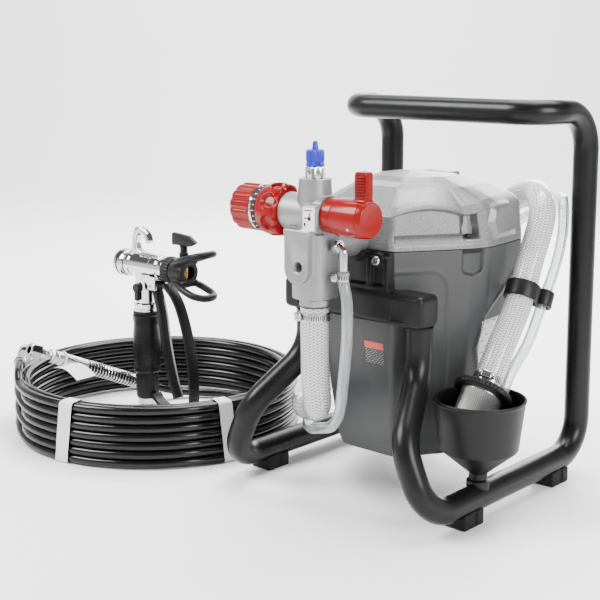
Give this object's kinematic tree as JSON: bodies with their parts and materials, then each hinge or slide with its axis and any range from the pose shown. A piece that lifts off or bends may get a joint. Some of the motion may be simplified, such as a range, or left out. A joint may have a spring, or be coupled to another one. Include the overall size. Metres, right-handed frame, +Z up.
{
  "type": "airless paint sprayer",
  "caption": "Electric piston pump on a bent tube frame, with suction hose, drip cup, spray gun and coiled high-pressure hose.",
  "frame": {"origin": "on the floor, under the middle of the box around the pump unit and the gun", "axes": "+Z up, -Y towards the pump head, the gun sprays along +X"},
  "size_m": [0.722, 0.4024, 0.4295],
  "materials": {
    "painted_tube": "satin black powder coat",
    "rubber": "matte",
    "cast_black": "satin black on a casting",
    "housing_plastic": "fine textured dark grey",
    "cover_plastic": "silver with a metallic fleck",
    "black_plastic": "moulded black",
    "red_plastic": "glossy red",
    "blue_plastic": "glossy blue",
    "cast_aluminium": "sand cast and blasted",
    "steel": "machined",
    "chrome": "polished plating",
    "mesh_steel": "woven stainless wire",
    "brass": "turned brass",
    "grip": "soft black grip",
    "clear_hose": "clear vinyl",
    "black_hose": "glossy black jacket"
  },
  "bodies": {
    "pump_unit": {"tube_frame": "painted_tube", "foot_front_left": "rubber", "foot_front_right": "rubber", "foot_rear_left": "rubber", "foot_rear_right": "rubber", "mounting_bracket": "cast_black", "motor_housing": "housing_plastic", "top_cover": "cover_plastic", "cord_hook": "painted_tube", "switch_bezel": "black_plastic", "cord_gland": "rubber", "motor_stator": "steel", "lower_bearing": "steel", "upper_bearing": "steel", "gear_plate": "cast_aluminium", "pump_manifold": "cast_aluminium", "inlet_barb": "cast_aluminium", "inlet_ball": "steel", "outlet_ball": "steel", "outlet_fitting": "chrome", "pressure_collar": "red_plastic", "prime_valve_base": "red_plastic", "return_barb": "chrome", "suction_hose": "clear_hose", "return_tube": "clear_hose", "hose_clip": "black_plastic", "strainer_cap": "black_plastic", "strainer_mesh": "mesh_steel", "cup_peg": "black_plastic", "hose_coil": "black_hose", "hose_lead": "black_hose", "hose_tail": "black_hose", "hose_ferrule_a": "chrome", "spring_guard": "steel", "hose_ferrule_b": "chrome"},
    "switch_rocker": {"power_switch": "red_plastic"},
    "rotor": {"motor_rotor": "steel", "cooling_fan": "black_plastic", "drive_pinion": "steel"},
    "gear": {"reduction_gear": "steel"},
    "piston": {"piston_rod": "steel"},
    "cap": {"outlet_cap": "blue_plastic"},
    "knob": {"pressure_knob": "red_plastic"},
    "lever": {"prime_lever": "red_plastic"},
    "cup": {"drip_cup": "black_plastic"},
    "gun": {"gun_head": "chrome", "gun_rear_cap": "chrome", "gun_handle": "grip", "gun_filter": "mesh_steel", "trigger_guard": "black_plastic", "trigger_pin": "steel", "retaining_nut": "black_plastic"},
    "trigger": {"gun_trigger": "black_plastic"},
    "needle": {"gun_needle": "steel"},
    "lock": {"trigger_lock": "black_plastic"},
    "guard": {"tip_guard": "black_plastic"},
    "tip": {"spray_tip": "brass"},
    "swivel": {"gun_swivel": "chrome"},
    "nut_a": {"hose_nut_a": "chrome"},
    "nut_b": {"hose_nut_b": "chrome"}
  },
  "joints": [
    {"name": "rotor_spin", "type": "hinge", "parent": "pump_unit", "child": "rotor", "pos_m": [0.1335, 0.0178, 0.1], "axis": [0, 0, 1], "continuous": true},
    {"name": "gear_spin", "type": "hinge", "parent": "pump_unit", "child": "gear", "pos_m": [0.1335, -0.0149, 0.245], "axis": [0, 0, 1], "continuous": true},
    {"name": "piston_stroke", "type": "slide", "parent": "pump_unit", "child": "piston", "axis": [0, -1, 0], "range_m": [-0.005, 0.005]},
    {"name": "switch_rock", "type": "hinge", "parent": "pump_unit", "child": "switch_rocker", "pos_m": [0.1735, 0.1213, 0.16], "axis": [1, 0, 0], "range_deg": [0, 12]},
    {"name": "cap_pull", "type": "slide", "parent": "pump_unit", "child": "cap", "axis": [0, 0, 1], "range_m": [0, 0.03]},
    {"name": "pressure_turn", "type": "hinge", "parent": "pump_unit", "child": "knob", "pos_m": [0.0535, -0.1442, 0.318], "axis": [1, 0, 0], "range_deg": [0, 270]},
    {"name": "prime_turn", "type": "hinge", "parent": "pump_unit", "child": "lever", "pos_m": [0.1835, -0.1442, 0.318], "axis": [1, 0, 0], "range_deg": [0, 90]},
    {"name": "cup_turn", "type": "hinge", "parent": "pump_unit", "child": "cup", "pos_m": [0.2695, -0.0422, 0.09], "axis": [0, 0, 1], "continuous": true},
    {"name": "gun_lift", "type": "slide", "parent": "pump_unit", "child": "gun", "axis": [0, 0, 1], "range_m": [0, 0.15]},
    {"name": "trigger_pull", "type": "hinge", "parent": "gun", "child": "trigger", "pos_m": [-0.2505, -0.0222, 0.176], "axis": [0, 1, 0], "range_deg": [0, 12], "stiffness_Nm_per_rad": 0.4, "springref_deg": -11.46},
    {"name": "needle_draw", "type": "slide", "parent": "gun", "child": "needle", "axis": [-1, 0, 0], "range_m": [0, 0.002]},
    {"name": "lock_turn", "type": "hinge", "parent": "gun", "child": "lock", "pos_m": [-0.2695, -0.0222, 0.172], "axis": [0, -1, 0], "range_deg": [0, 90]},
    {"name": "guard_turn", "type": "hinge", "parent": "gun", "child": "guard", "pos_m": [-0.2115, -0.0222, 0.2], "axis": [1, 0, 0], "range_deg": [-90, 90]},
    {"name": "tip_turn", "type": "hinge", "parent": "guard", "child": "tip", "pos_m": [-0.1965, -0.0222, 0.2], "axis": [0, 0, 1], "range_deg": [0, 180]},
    {"name": "swivel_turn", "type": "hinge", "parent": "gun", "child": "swivel", "pos_m": [-0.2715, -0.0222, 0.01], "axis": [0, 0, 1], "continuous": true},
    {"name": "nut_a_turn", "type": "hinge", "parent": "pump_unit", "child": "nut_a", "pos_m": [-0.3365, -0.1642, 0.101], "axis": [0.1777, 0.9005, -0.3969], "continuous": true},
    {"name": "nut_b_turn", "type": "hinge", "parent": "pump_unit", "child": "nut_b", "pos_m": [-0.34376, -0.1738, 0.0857], "axis": [-0.7193, 0.6947, 0], "continuous": true}
  ],
  "couplings": [
    {"joint": "gear_spin", "follows": "rotor_spin", "ratio": -0.3},
    {"joint": "needle_draw", "follows": "trigger_pull", "m_per_rad": 0.0095}
  ]
}
